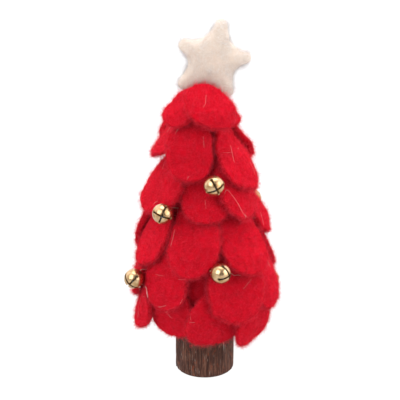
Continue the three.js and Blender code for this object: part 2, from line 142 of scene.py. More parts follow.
class ShaderGraph:
    """A node material in the making, with the patterns that the finishes share."""

    def __init__(self, name: str) -> None:
        """Starts a material that is named for the real one and how it was made."""
        self.material = bpy.data.materials.new(name)
        self.material.use_nodes = True
        self.tree = self.material.node_tree
        self.tree.nodes.clear()
        self.place = add_node(self.tree, "ShaderNodeTexCoord").outputs["Object"]

    def noise(self, size_mm: float, detail: float, rough: float = 0.5, output: str = "Fac") -> Socket:
        """Adds noise with features this wide, finer layers, and the share that each of them keeps."""
        return add_node(self.tree, "ShaderNodeTexNoise", {
            "Vector": self.place, "Scale": per_metre(size_mm), "Detail": detail, "Roughness": rough,
        }).outputs[output]

    def upright(
        self, wide_mm: float, long_mm: float, detail: float, rough: float, wobble: float = 0.0,
        place: Socket | None = None,
    ) -> Socket:
        """Adds noise that is drawn out upright.

        Args:
            wide_mm: Width of its features.
            long_mm: Height of its features.
            detail: Number of finer layers.
            rough: Share that each finer layer keeps.
            wobble: How far it is distorted.
            place: Output that gives the place, if not the place on the object.

        Returns:
            The output of the noise.
        """
        stretched = add_node(self.tree, "ShaderNodeMapping", {
            "Vector": self.place if place is None else place,
            "Scale": (per_metre(wide_mm), per_metre(wide_mm), per_metre(long_mm)),
        }).outputs["Vector"]
        return add_node(self.tree, "ShaderNodeTexNoise", {
            "Vector": stretched, "Scale": 1.0, "Detail": detail, "Roughness": rough, "Distortion": wobble,
        }).outputs["Fac"]

    def ramp(self, value: Socket, *stops: tuple[float, str]) -> Socket:
        """Colours a value by places and sRGB colours."""
        return add_node(self.tree, "ShaderNodeValToRGB", {"Fac": value}, None, stops).outputs["Color"]

    def ranged(
        self, value: Socket, low: float, high: float, to_high: float, to_low: float = 0.0,
    ) -> Socket:
        """Maps a value from one range to another."""
        return add_node(self.tree, "ShaderNodeMapRange", {
            "Value": value, "From Min": low, "From Max": high, "To Min": to_low, "To Max": to_high,
        }).outputs["Result"]

    def mixed(self, share: Socket, colour: Socket, code: str) -> Socket:
        """Mixes a colour with a share of an sRGB colour."""
        return add_node(self.tree, "ShaderNodeMix", {
            0: share, 6: colour, 7: linear(code),
        }, {"data_type": "RGBA"}).outputs[2]

    def bump(self, height: Socket, strength: float, depth_mm: float) -> Socket:
        """Adds fine relief of this depth."""
        return add_node(self.tree, "ShaderNodeBump", {
            "Height": height, "Strength": strength, "Distance": depth_mm * MM,
        }).outputs["Normal"]

    def principled(self, inputs: dict[str, Any]) -> Socket:
        """Adds the main shader with these inputs."""
        return add_node(self.tree, "ShaderNodeBsdfPrincipled", inputs).outputs["BSDF"]

    def finish(self, shader: Socket) -> Material:
        """Puts the shader on the surface and gives the material."""
        output = add_node(self.tree, "ShaderNodeOutputMaterial")
        self.tree.links.new(shader, output.inputs["Surface"])
        return self.material


@dataclass(frozen=True)
class FeltedWool:
    """Needle-felted wool: matt matted fibre, cloudy at a few millimetres, with a soft pale bloom.

    The fibres are 0.03 mm thick, too fine to show, so the strands in the bump are drawn 0.5 mm wide;
    their colour is a painted highlight, paler than the felt.
    """

    name: str
    deep: str
    body: str
    # Painted highlight colour of the raised strands
    painted_fibre_highlight: str
    bloom: str
    through: tuple[float, float, float]
    depth_mm: float = 1.6
    cloud_mm: float = 3.4
    wander_mm: float = 4.0
    strand_mm: float = 0.5
    strand_length_mm: float = 2.2
    sheen: float = 0.25
    bump: float = 0.55

    def material(self) -> Material:
        """Makes the felt with its clouds, strands and sheen, and a painted highlight on the strands."""
        graph = ShaderGraph(self.name)
        clouds = graph.noise(self.cloud_mm, 4.0, 0.65)
        drift = add_node(graph.tree, "ShaderNodeVectorMath", {
            0: graph.noise(self.cloud_mm, 1.0, output="Color"), 1: (self.wander_mm * MM,) * 3,
            2: graph.place,
        }, {"operation": "MULTIPLY_ADD"}).outputs[0]
        strands = graph.upright(self.strand_mm, self.strand_length_mm, 3.0, 0.65, place=drift)
        cloudy = graph.ramp(clouds, (0.36, self.deep), (0.62, self.body))
        height = add_node(graph.tree, "ShaderNodeMath", {
            0: clouds, 1: 0.8, 2: strands,
        }, {"operation": "MULTIPLY_ADD"}).outputs[0]
        return graph.finish(graph.principled({
            # Colour: clouds, with a painted highlight where the strands rise
            "Base Color": graph.mixed(graph.ranged(strands, 0.5, 0.74, 0.6), cloudy, self.painted_fibre_highlight),
            "Roughness": 0.95, "Specular IOR Level": 0.04,
            "Subsurface Weight": 0.5, "Subsurface Radius": self.through,
            "Subsurface Scale": self.depth_mm * MM,
            "Sheen Weight": self.sheen, "Sheen Roughness": 0.45, "Sheen Tint": linear(self.bloom),
            "Normal": graph.bump(height, self.bump, 0.5),
        }))


@dataclass(frozen=True)
class LooseWool:
    """Loose wool fibre: single crimped hairs that catch the light and let some of it through."""

    name: str
    dark: str
    pale: str
    # Colour that the hairs fade to at their tips, a painted sheen
    tip: str
    patch_mm: float = 0.6
    through: float = 0.5

    def material(self) -> Material:
        """Makes the fibre, mixed from darker and paler hairs that fade towards a paler tip colour, a
        painted sheen.
        """
        graph = ShaderGraph(self.name)
        patches = graph.ramp(graph.noise(self.patch_mm, 2.0, 0.55), (0.33, self.dark), (0.67, self.pale))
        along = add_node(graph.tree, "ShaderNodeAttribute", None, {"attribute_name": TIP}).outputs["Fac"]
        # Paler towards the tips: painted sheen
        colour = graph.mixed(along, patches, self.tip)
        face = graph.principled({"Base Color": colour, "Roughness": 0.85, "Specular IOR Level": 0.08})
        glow = add_node(graph.tree, "ShaderNodeBsdfTranslucent", {"Color": colour}).outputs["BSDF"]
        return graph.finish(add_node(graph.tree, "ShaderNodeMixShader", {
            0: self.through, 1: face, 2: glow,
        }).outputs["Shader"])


@dataclass(frozen=True)
class DriedBark:
    """Bark dried on the branch: brown upright fibres in dark and pale patches, rust and worn lines."""

    name: str = "bark_dried_on_the_branch"
    furrow: str = "1b0d09"
    body: str = "47291f"
    ridge: str = "76503f"
    rust: str = "8f3f1e"
    worn: str = "b8a294"
    streak_mm: tuple[float, float] = (0.75, 12.0)
    patch_mm: tuple[float, float] = (5.0, 10.0)
    fleck_mm: tuple[float, float] = (1.9, 3.04)
    line_mm: tuple[float, float] = (0.5, 7.0)
    patch_share: float = 0.3

    def material(self) -> Material:
        """Makes the streaked bark with its rust and its worn lines."""
        graph = ShaderGraph(self.name)
        streaks, patches, flecks, lines = (
            graph.upright(*size, 5.0, rough, 0.5) for size, rough in (
                (self.streak_mm, 0.7), (self.patch_mm, 0.6), (self.fleck_mm, 0.75), (self.line_mm, 0.5),
            )
        )
        shade = add_node(graph.tree, "ShaderNodeMix", {
            0: self.patch_share, 2: streaks, 3: patches,
        }).outputs[0]
        brown = graph.ramp(shade, (0.36, self.furrow), (0.5, self.body), (0.66, self.ridge))
        reddened = graph.mixed(graph.ranged(flecks, 0.57, 0.68, 0.75), brown, self.rust)
        return graph.finish(graph.principled({
            "Base Color": graph.mixed(graph.ranged(lines, 0.62, 0.7, 0.75), reddened, self.worn),
            "Roughness": 0.8, "Specular IOR Level": 0.25, "Normal": graph.bump(shade, 0.8, 0.6),
        }))


@dataclass(frozen=True)
class CutWood:
    """Cut wood: growth rings round the pith, pores between them, and a dry matt face."""

    name: str
    early: str
    late: str
    ring_mm: float = 1.6
    pore_mm: float = 0.5
    roughness: float = 0.75

    def material(self) -> Material:
        """Makes the ringed wood."""
        graph = ShaderGraph(self.name)
        rings = add_node(graph.tree, "ShaderNodeTexWave", {
            "Vector": graph.place, "Scale": per_metre(self.ring_mm) / (2 * math.pi), "Distortion": 2.2,
            "Detail": 3.0, "Detail Scale": 1.4,
        }, {"wave_type": "RINGS", "rings_direction": "Z", "wave_profile": "SAW"}).outputs["Fac"]
        return graph.finish(graph.principled({
            "Base Color": graph.ramp(rings, (0.15, self.early), (0.85, self.late)),
            "Roughness": self.roughness, "Specular IOR Level": 0.3,
            "Normal": graph.bump(graph.noise(self.pore_mm, 2.0), 0.35, 0.15),
        }))


@dataclass(frozen=True)
class PressedMetal:
    """Pressed and tumbled metal: bright, with soft dents from the tool and a faint cloudy tarnish."""

    name: str
    bright: str
    tarnish: str
    smooth: float
    dull: float
    dent_mm: float = 2.6
    scuff_mm: float = 0.35
    dent: float = 0.12

    def material(self) -> Material:
        """Makes the metal with its tarnish, scuffs and dents."""
        graph = ShaderGraph(self.name)
        dents = graph.noise(self.dent_mm, 1.5)
        scuffs = graph.noise(self.scuff_mm, 3.0, 0.7)
        return graph.finish(graph.principled({
            "Base Color": graph.ramp(dents, (0.35, self.tarnish), (0.62, self.bright)), "Metallic": 1.0,
            "Roughness": graph.ranged(scuffs, 0.35, 0.7, self.dull, self.smooth),
            "Normal": graph.bump(dents, self.dent, 0.4),
        }))


# The fourth colour of each felt is the painted highlight on its strands
RED_FELT = FeltedWool(
    "red_needle_felted_wool", "b0081b", "c00c22", "cc162c", "f03c54", (1.0, 0.15, 0.2), sheen=0.12,
)
CREAM_FELT = FeltedWool(
    "cream_needle_felted_wool", "cfc0b2", "d2c3b5", "d5c7bb", "eef0f4", (0.8, 0.92, 1.0), depth_mm=4.0,
    sheen=0.4, bump=0.3,
)
# The last colour of each loose wool is the painted sheen at the hair tips
RED_HAIR = LooseWool("loose_red_wool_fibre", "da112c", "f81b3b", "fc627b", through=0.6)
CREAM_HAIR = LooseWool("loose_cream_wool_fibre", "f5f4f4", "f9f8f8", "fbfafa", through=0.7)
PALE_HAIR = LooseWool("stray_pale_wool_fibre", "f4b8b6", "fde4e0", "fde4e0")
BARK = DriedBark()
SAWN_END = CutWood("sawn_branch_end_grain", "a8835f", "6f4a34")
BEECH = CutWood("turned_beech_dowel", "cfae7f", "b78f5f", ring_mm=1.1, roughness=0.6)
BRASS = PressedMetal("brass_plated_pressed_steel", "cbad86", "a9875d", 0.2, 0.32)
STEEL = PressedMetal("tumbled_steel_shot", "9b9da0", "77797c", 0.3, 0.5, dent=0.3)
COTTON = LooseWool("spun_cotton_sewing_thread", "c07a74", "deb0a8", "deb0a8", through=0.1)


def seeded(name: str) -> np.random.Generator:
    """Random numbers that are the same each run for one name."""
    return np.random.default_rng(zlib.crc32(name.encode()))


def linked(name: str, data: bpy.types.ID) -> Object:
    """Makes an object of a mesh, lamp or camera and links it to the scene."""
    made = bpy.data.objects.new(name, data)
    bpy.context.scene.collection.objects.link(made)
    return made


def applied(piece: Object) -> Mesh:
    """Mesh of a piece with its modifiers applied, and with no material."""
    mesh = bpy.data.meshes.new_from_object(piece.evaluated_get(bpy.context.evaluated_depsgraph_get()))
    mesh.materials.clear()
    return mesh


def settled(name: str, shape: bmesh.types.BMesh) -> Mesh:
    """Turns a worked shape into a mesh and frees it."""
    mesh = bpy.data.meshes.new(name)
    shape.to_mesh(mesh)
    shape.free()
    return mesh


def make_object(name: str, points: np.ndarray, faces: np.ndarray) -> Object:
    """Makes a smooth mesh object at the origin.

    Args:
        name: Name of the object and its mesh.
        points: Corners, one row each.
        faces: Corner numbers, one row for each face, all with the same number of corners.

    Returns:
        The linked object.
    """
    mesh = bpy.data.meshes.new(name)
    mesh.vertices.add(len(points))
    mesh.vertices.foreach_set("co", np.asarray(points, np.float32).ravel())
    mesh.loops.add(faces.size)
    mesh.loops.foreach_set("vertex_index", np.asarray(faces, np.int32).ravel())
    mesh.polygons.add(len(faces))
    mesh.polygons.foreach_set(
        "loop_start", np.arange(0, faces.size, faces.shape[1], dtype=np.int32)
    )
    mesh.update(calc_edges=True)
    mesh.shade_smooth()
    return linked(name, mesh)


def rows_of(values: bpy.types.bpy_prop_collection, name: str) -> np.ndarray:
    """Vectors of one name from a mesh, one row each."""
    flat = np.empty(len(values) * 3, np.float32)
    values.foreach_get(name, flat)
    return flat.reshape(-1, 3).astype(float)


def corners_of(piece: Object) -> np.ndarray:
    """Corners of a piece's mesh, one row each."""
    return rows_of(piece.data.vertices, "co")


def normals_of(piece: Object) -> np.ndarray:
    """Normals at the corners of a piece's mesh, one row each."""
    return rows_of(piece.data.vertex_normals, "vector")


def quads_of(piece: Object) -> np.ndarray:
    """Corner numbers of a piece whose faces all have four corners."""
    flat = np.empty(len(piece.data.loops), np.int32)
    piece.data.loops.foreach_get("vertex_index", flat)
    return flat.reshape(-1, 4)


def move_corners(piece: Object, points: np.ndarray) -> None:
    """Puts the corners of a piece's mesh in new places."""
    piece.data.vertices.foreach_set("co", np.asarray(points, np.float32).ravel())
    piece.data.update()


def unit(vectors: np.ndarray) -> np.ndarray:
    """Vectors of length 1 in the same directions."""
    length = np.linalg.norm(vectors, axis=-1, keepdims=True)
    return vectors / np.maximum(length, 1e-12)


def lengths_along(line: np.ndarray) -> np.ndarray:
    """Length of a line up to each of its points."""
    return np.concatenate([[0], np.cumsum(np.linalg.norm(np.diff(line, axis=0), axis=1))])


def points_along(line: np.ndarray, places: np.ndarray) -> np.ndarray:
    """Points at these lengths along a line, one row each."""
    return np.stack([np.interp(places, lengths_along(line), values) for values in line.T], 1)


def carried(start: np.ndarray, ahead: np.ndarray) -> np.ndarray:
    """Carries a direction along a path without twist.

    Args:
        start: The direction at the first point.
        ahead: Directions of the path, one row for each point.

    Returns:
        Directions square to the path, one row for each point.
    """
    across = np.empty_like(ahead)
    for i, way in enumerate(ahead):
        start = start - way * np.dot(start, way)
        start = start / np.linalg.norm(start)
        across[i] = start
    return across


def ring_quads(rings: int, sides: int) -> np.ndarray:
    """Lists the quads of a form that is closed at each end by a fan to a middle corner.

    Args:
        rings: Number of rings of corners, counted from one end to the other.
        sides: Even number of corners in a ring.

    Returns:
        Corner numbers of each quad. The two middle corners come after the rings.
    """
    here = np.arange(sides)
    beside = (here + 1) % sides
    quads = [
        np.stack([row + here, row + beside, row + sides + beside, row + sides + here], 1)
        for row in sides * np.arange(rings - 1)
    ]
    fan, last = np.stack([here[::2], beside[::2], (beside[::2] + 1) % sides], 1), sides * (rings - 1)
    quads.append(np.insert(fan[:, ::-1], 0, rings * sides, 1))
    quads.append(np.insert(last + fan, 0, rings * sides + 1, 1))
    return np.concatenate(quads)


def tube(
    path: np.ndarray, radius: np.ndarray | float, sides: int, closed: bool = False,
) -> RawMesh:
    """Sweeps a round section along a path, as triangles, with closed ends.

    Args:
        path: Points of the centreline, one row each.
        radius: One radius, or one for each point.
        sides: Number of sides of the section.
        closed: Whether the path is a ring.

    Returns:
        Corners and triangles.
    """
    count = len(path)
    ahead = np.roll(path, -1, 0) - np.roll(path, 1, 0)
    if not closed:
        ahead[0] = path[1] - path[0]
        ahead[-1] = path[-1] - path[-2]
    ahead = unit(ahead)
    across = carried(np.eye(3)[np.argmin(np.abs(ahead[0]))], ahead)
    upright = np.cross(ahead, across)
    angle = 2 * np.pi * np.arange(sides) / sides
    width = np.broadcast_to(np.asarray(radius, float), (count,))[:, None, None]
    turn = angle[None, :, None]
    ring = across[:, None] * np.cos(turn) + upright[:, None] * np.sin(turn)
    points = (path[:, None] + width * ring).reshape(-1, 3)
    spans = np.arange(count if closed else count - 1)[:, None]
    side = np.arange(sides)[None]
    here, beside, on, over = (
        (row % count * sides + corner % sides).ravel()
        for row, corner in ((spans, side), (spans, side + 1), (spans + 1, side), (spans + 1, side + 1))
    )
    faces = [np.stack([here, beside, over], 1), np.stack([here, over, on], 1)]
    if not closed:
        last = (count - 1) * sides
        fan = np.arange(1, sides - 1)
        faces.append(np.stack([np.zeros_like(fan), fan + 1, fan], 1))
        faces.append(np.stack([np.full_like(fan, last), last + fan, last + fan + 1], 1))
    return points, np.concatenate(faces)


def joined(parts: Sequence[RawMesh]) -> RawMesh:
    """Puts several meshes, given as corners and faces, into one."""
    start = np.cumsum([0] + [len(points) for points, _ in parts[:-1]])
    return (
        np.concatenate([points for points, _ in parts]),
        np.concatenate([faces + first for (_, faces), first in zip(parts, start)]),
    )


def finish_piece(piece: Object, body: str, material: Material) -> None:
    """Dresses a piece and ties it to its body.

    Args:
        piece: The piece, in its place.
        body: Name of the body that it moves with.
        material: Its material.
    """
    piece.data.materials.append(material)
    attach(piece, body)
    LOG.info("%s: %d faces, on %s", piece.name, len(piece.data.polygons), body)


@dataclass(frozen=True)
class BellRoom:
    """Room that the bells need: each ball at steps of its swing, and each loop in the felt."""

    balls: Sequence[tuple[np.ndarray, float]]

    def push_out(self, points: np.ndarray) -> np.ndarray:
        """Moves points that lie in the room straight out of it.

        Args:
            points: Points, one row each.

        Returns:
            The points, all outside the room.
        """
        clear = points.copy()
        for centre, radius in self.balls:
            away = clear - centre
            inside = np.linalg.norm(away, axis=1) < radius
            clear[inside] = centre + unit(away[inside]) * radius
        return clear

    def holds(self, points: np.ndarray) -> np.ndarray:
        """Tells which points lie in the room."""
        return np.any([np.linalg.norm(points - c, axis=1) < radius for c, radius in self.balls], axis=0)


@dataclass(frozen=True)
class StudioCamera:
    """Camera in front of the tree, a little above it, looking along +Y."""

    distance: float = 0.535
    elevation: float = 17.5
    aim: tuple[float, float, float] = (-0.0025, 0.0, 0.0924)
    focal_px: float = 1055.0
    frame_px: float = 400.0
    sensor_mm: float = 36.0

    def place(self) -> Vector:
        """Where the camera stands."""
        tilt = math.radians(self.elevation)
        return Vector(self.aim) + self.distance * Vector((0, -math.cos(tilt), math.sin(tilt)))

    def build(self) -> None:
        """Makes the camera and gives it to the scene."""
        data = bpy.data.cameras.new("studio_camera")
        data.sensor_width = self.sensor_mm
        data.lens = self.focal_px / self.frame_px * self.sensor_mm
        camera = linked("studio_camera", data)
        camera.location = self.place()
        camera.rotation_euler = (Vector(self.aim) - self.place()).to_track_quat("-Z", "Y").to_euler()
        bpy.context.scene.camera = camera

    def ray(self, x_px: float, y_px: float) -> Vector:
        """Direction from the camera through a point of the picture.

        Args:
            x_px: Distance from the left edge.
            y_px: Distance from the top edge.

        Returns:
            A vector of length 1.
        """
        tilt = math.radians(self.elevation)
        half = self.frame_px / 2
        ahead = Vector((0, math.cos(tilt), -math.sin(tilt)))
        above = Vector((0, math.sin(tilt), math.cos(tilt)))
        aside = Vector((1, 0, 0)) * ((x_px - half) / self.focal_px)
        return (ahead + aside - above * ((y_px - half) / self.focal_px)).normalized()


@dataclass(frozen=True)
class WhiteStudio:
    """White light table in a bright room with a darker side behind the camera, and soft lamps."""

    table_size: float = 8.0
    opal_mm: float = 4.0
    sky: float = 1.9
    dark_side: float = 0.3
    middle: tuple[float, float, float] = (0.0, 0.0, 0.09)

    def build(self) -> None:
        """Makes the table, the room and the lamps."""
        self.table()
        self.room()
        self.lamp("key_softbox", (-0.55, -0.65, 0.65), 0.8, 7.0)
        self.lamp("fill_softbox", (0.75, -0.45, 0.45), 0.8, 5.5)
        self.lamp("top_softbox", (0.05, 0.1, 0.95), 0.7, 4.0)
        bpy.context.scene.view_settings.view_transform = "Standard"

    def table(self) -> None:
        """Lays the table, whose own glow is white and which gives little of the lamps back."""
        half = self.table_size / 2
        points = np.array([[-half, -half, 0], [half, -half, 0], [half, half, 0], [-half, half, 0]])
        table = make_object("light_table", points, np.array([[0, 1, 2, 3]]))
        graph = ShaderGraph("opal_acrylic_lit_from_below")
        table.data.materials.append(graph.finish(graph.principled({
            "Base Color": linear("2c2c2c"), "Roughness": 0.9, "Emission Color": linear("ffffff"),
            "Emission Strength": graph.ranged(graph.noise(self.opal_mm, 2.0), 0.0, 1.0, 1.0, 0.98),
        })))

    def room(self) -> None:
        """Lights the room: bright all round, and darker on the camera's side."""
        world = bpy.data.worlds.new("white_room")
        bpy.context.scene.world = world
        world.use_nodes = True
        tree = world.node_tree
        tree.nodes.clear()
        way = add_node(tree, "ShaderNodeTexCoord").outputs["Generated"]
        parts = add_node(tree, "ShaderNodeSeparateXYZ", {0: way})
        level = add_node(tree, "ShaderNodeMapRange", {
            "Value": parts.outputs["Y"], "From Min": -0.9, "From Max": 0.5,
            "To Min": self.dark_side, "To Max": self.sky,
        }, {"interpolation_type": "SMOOTHSTEP"})
        back = add_node(tree, "ShaderNodeBackground", {
            "Color": linear("fdfcff"), "Strength": level.outputs["Result"],
        })
        output = add_node(tree, "ShaderNodeOutputWorld")
        tree.links.new(back.outputs["Background"], output.inputs["Surface"])

    def lamp(self, name: str, place: tuple[float, float, float], size: float, power: float) -> None:
        """Hangs a square softbox that faces the tree.

        Args:
            name: Name of the lamp.
            place: Where it hangs.
            size: Length of its side.
            power: Its power in watts.
        """
        data = bpy.data.lights.new(name, "AREA")
        data.size = size
        data.energy = power
        lamp = linked(name, data)
        lamp.location = place
        lamp.rotation_euler = (Vector(self.middle) - Vector(place)).to_track_quat("-Z", "Y").to_euler()


@dataclass
class FeltPiece:
    """A piece of felt that follows its CAD solid: evened, softened, lumpy and hairy."""

    node: str
    felt: Material
    hair: Material
    slot: Slot = Slot.RED_FELT
    voxel: float = 0.6 * MM
    rounds: int = 60
    lump: float = 0.15 * MM
    lump_size: float = 3.2 * MM
    hairs_per_mm2: float = 6.5
    hair_length: float = 2.4 * MM
    hair_radius: float = 0.028 * MM
    rim_hair: float = 3.5
    tuft: float = 1.7 * MM
    pull: float = 0.75 * MM
    pull_size: float = 8.0 * MM
    cover_reach: float = 6 * MM
    cover_start: float = 0.3 * MM
    raised_share: float = 0.45
    raised_lean: float = 33.0
    lying_lean: float = 72.0
    lean_spread: float = 16.0
    waywardness: float = 0.35
    curl: float = 0.55
    droop: float = 0.25
    longest: float = 2.0
    sunk: float = 0.15 * MM
    piece: Object | None = None

    def shape(self, room: BellRoom) -> Object:
        """Makes the felt from its CAD solid and ties it to the tree.

        Args:
            room: Room of the bells, which the felt keeps clear of.

        Returns:
            The felt piece.
        """
        self.piece = self.evened()
        points = self.pulled(self.softened(corners_of(self.piece)))
        move_corners(self.piece, points)
        points = points + normals_of(self.piece) * self.lumps(points)[:, None]
        move_corners(self.piece, room.push_out(points))
        self.piece.data.shade_smooth()
        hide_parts(self.node)
        finish_piece(self.piece, TREE, self.felt)
        return self.piece

    def evened(self) -> Object:
        """Copies the CAD solid and covers it with even quads.

        Returns:
            The copy, linked and at the origin.
        """
        rough = linked(self.node + "_rough", frame["nodes"][self.node].data.copy())
        even = rough.modifiers.new("even", "REMESH")
        even.mode = "VOXEL"
        even.voxel_size = self.voxel
        mesh = applied(rough)
        bpy.data.objects.remove(rough)
        mesh.name = self.node + "_felt"
        return linked(mesh.name, mesh)

    def softened(self, points: np.ndarray) -> np.ndarray:
        """Smooths the facets away and keeps the volume, by shrinking and swelling in turn.

        Args:
            points: Corners of the piece, one row each.

        Returns:
            The smoothed corners.
        """
        flat = np.empty(len(self.piece.data.edges) * 2, np.int32)
        self.piece.data.edges.foreach_get("vertices", flat)
        first, second = flat.reshape(-1, 2).T
        count = len(points)
        degree = np.maximum(np.bincount(flat, minlength=count), 1)[:, None]
        for step in SOFTEN_STEPS * self.rounds:
            total = np.stack([
                np.bincount(first, points[second, axis], count)
                + np.bincount(second, points[first, axis], count)
                for axis in range(3)
            ], 1)
            points = points + step * (total / degree - points)
        return points

    def pulled(self, points: np.ndarray) -> np.ndarray:
        """Pulls the felt a little out of true, the same way for all pieces at one place."""
        return points + self.pull * np.array([
            noise.noise_vector(Vector(point / self.pull_size)) for point in points
        ])

    def lumps(self, points: np.ndarray) -> np.ndarray:
        """Heights of the soft lumps in hand-worked felt, one for each place."""
        return self.lump * np.array([
            noise.fractal(Vector(point / self.lump_size), 1.0, 2.0, 2) for point in points
        ])

    def comb(self, cover: BVHTree, room: BellRoom) -> Object:
        """Makes the loose hair on the felt that shows.

        Args:
            cover: All the felt, which tells where a piece is covered by another.
            room: Room of the bells, which the hair keeps out of.

        Returns:
            The hair, as its own piece.
        """
        rng = seeded(self.node)
        roots, normals = self.scattered(rng)
        bare = np.array([self.shows(cover, root, normal) for root, normal in zip(roots, normals)], bool)
        points, faces = self.strands(rng, roots[bare], normals[bare], room)
        hair = make_object(self.node + "_hair", points, faces)
        along = np.tile(np.repeat(HAIR_STEPS, (3, 3, 1)), len(points) // 7)
        hair.data.attributes.new(TIP, "FLOAT", "POINT").data.foreach_set("value", along)
        finish_piece(hair, TREE, self.hair)
        return hair

    def shows(self, cover: BVHTree, root: np.ndarray, normal: np.ndarray) -> bool:
        """Tells whether a place is clear of other felt straight ahead or away from the tree.

        Args:
            cover: All the felt.
            root: The place on this piece.
            normal: Direction out of the felt there.

        Returns:
            True where the place shows.
        """
        start = Vector(root + self.cover_start * normal)
        away = Vector((root[0], root[1], 0)).normalized()
        return any(
            cover.ray_cast(start, way, self.cover_reach)[0] is None for way in (Vector(normal), away)
        )

    def scattered(self, rng: np.random.Generator) -> tuple[np.ndarray, np.ndarray]:
        """Scatters hair roots over the piece, closer together round its rim.

        Args:
            rng: Seeded random numbers.

        Returns:
            Roots and the directions out of the felt there.
        """
        corner = corners_of(self.piece)[quads_of(self.piece)]
        facing = np.cross(corner[:, 2] - corner[:, 0], corner[:, 3] - corner[:, 1])
        area = np.linalg.norm(facing, axis=1) / 2
        middle = corner.mean(1)
        flat = np.linalg.eigh(np.cov(middle.T))[1][:, 0]
        share = area * (1 + self.rim_hair * (1 - np.abs(unit(facing) @ flat)) ** 2)
        count = int(self.hairs_per_mm2 * share.sum() / MM ** 2)
        chosen = np.searchsorted(np.cumsum(share), rng.random(count) * share.sum())
        chosen = np.minimum(chosen, len(share) - 1)
        across, along = rng.random((2, count, 1))
        near = corner[chosen, 0] * (1 - across) + corner[chosen, 1] * across
        far = corner[chosen, 3] * (1 - across) + corner[chosen, 2] * across
        return near * (1 - along) + far * along, unit(facing[chosen])

    def strands(
        self, rng: np.random.Generator, roots: np.ndarray, normals: np.ndarray, room: BellRoom,
    ) -> RawMesh:
        """Grows tapered hairs that lean over and curl.

        Args:
            rng: Seeded random numbers.
            roots: Places where the hairs leave the felt.
            normals: Directions out of the felt at the roots.
            room: Room of the bells, which the hairs keep out of.

        Returns:
            Corners and triangles.
        """
        count = len(roots)
        drift = np.array([noise.noise_vector(Vector(root / self.tuft)) for root in roots])
        flat = unit(np.cross(normals, unit(drift) + self.waywardness * rng.normal(size=(count, 3))))
        raised = rng.random((count, 1)) < self.raised_share
        spread = rng.uniform(-self.lean_spread, self.lean_spread, (count, 1))
        lean = np.radians(np.where(raised, self.raised_lean, self.lying_lean) + spread)
        way = normals * np.cos(lean) + flat * np.sin(lean)
        bend = rng.normal(0, self.curl, (count, 1))
        curl = unit(np.cross(way, normals)) * bend - self.droop * normals
        length = self.hair_length * np.minimum(rng.lognormal(-0.15, 0.5, (count, 1)), self.longest)
        width = self.hair_radius * rng.uniform(0.75, 1.25, (count, 1))
        start = roots - self.sunk * normals
        spine = [start + length * (t * way + t * t * curl) for t in HAIR_STEPS]
        free = ~(room.holds(spine[1]) | room.holds(spine[2]))
        side = unit(np.cross(way, unit(rng.normal(size=(count, 3)))))
        other = np.cross(way, side)
        rings = [
            spine[i] + width * (1 - 0.3 * i) * (math.cos(turn) * side + math.sin(turn) * other)
            for i in range(2) for turn in (0, 2 * math.pi / 3, 4 * math.pi / 3)
        ]
        corners = np.stack([*rings, spine[2]], 1)[free].reshape(-1, 3)
        pattern = [(0, 2, 1)]
        for k, after in ((0, 1), (1, 2), (2, 0)):
            pattern += [(k, after, 3 + after), (k, 3 + after, 3 + k), (3 + k, 3 + after, 6)]
        first = 7 * np.arange(int(free.sum()))[:, None, None]
        return corners, (first + np.array(pattern)[None]).reshape(-1, 3)


@dataclass
class Petal(FeltPiece):
    """An egg-shaped petal of thick felt, cut flat and laid over the petals below it."""

    width: float = 0.026
    length: float = 0.038

    def declare(self, hair: Object) -> None:
        """Does nothing with the petal or the loose hair on it."""


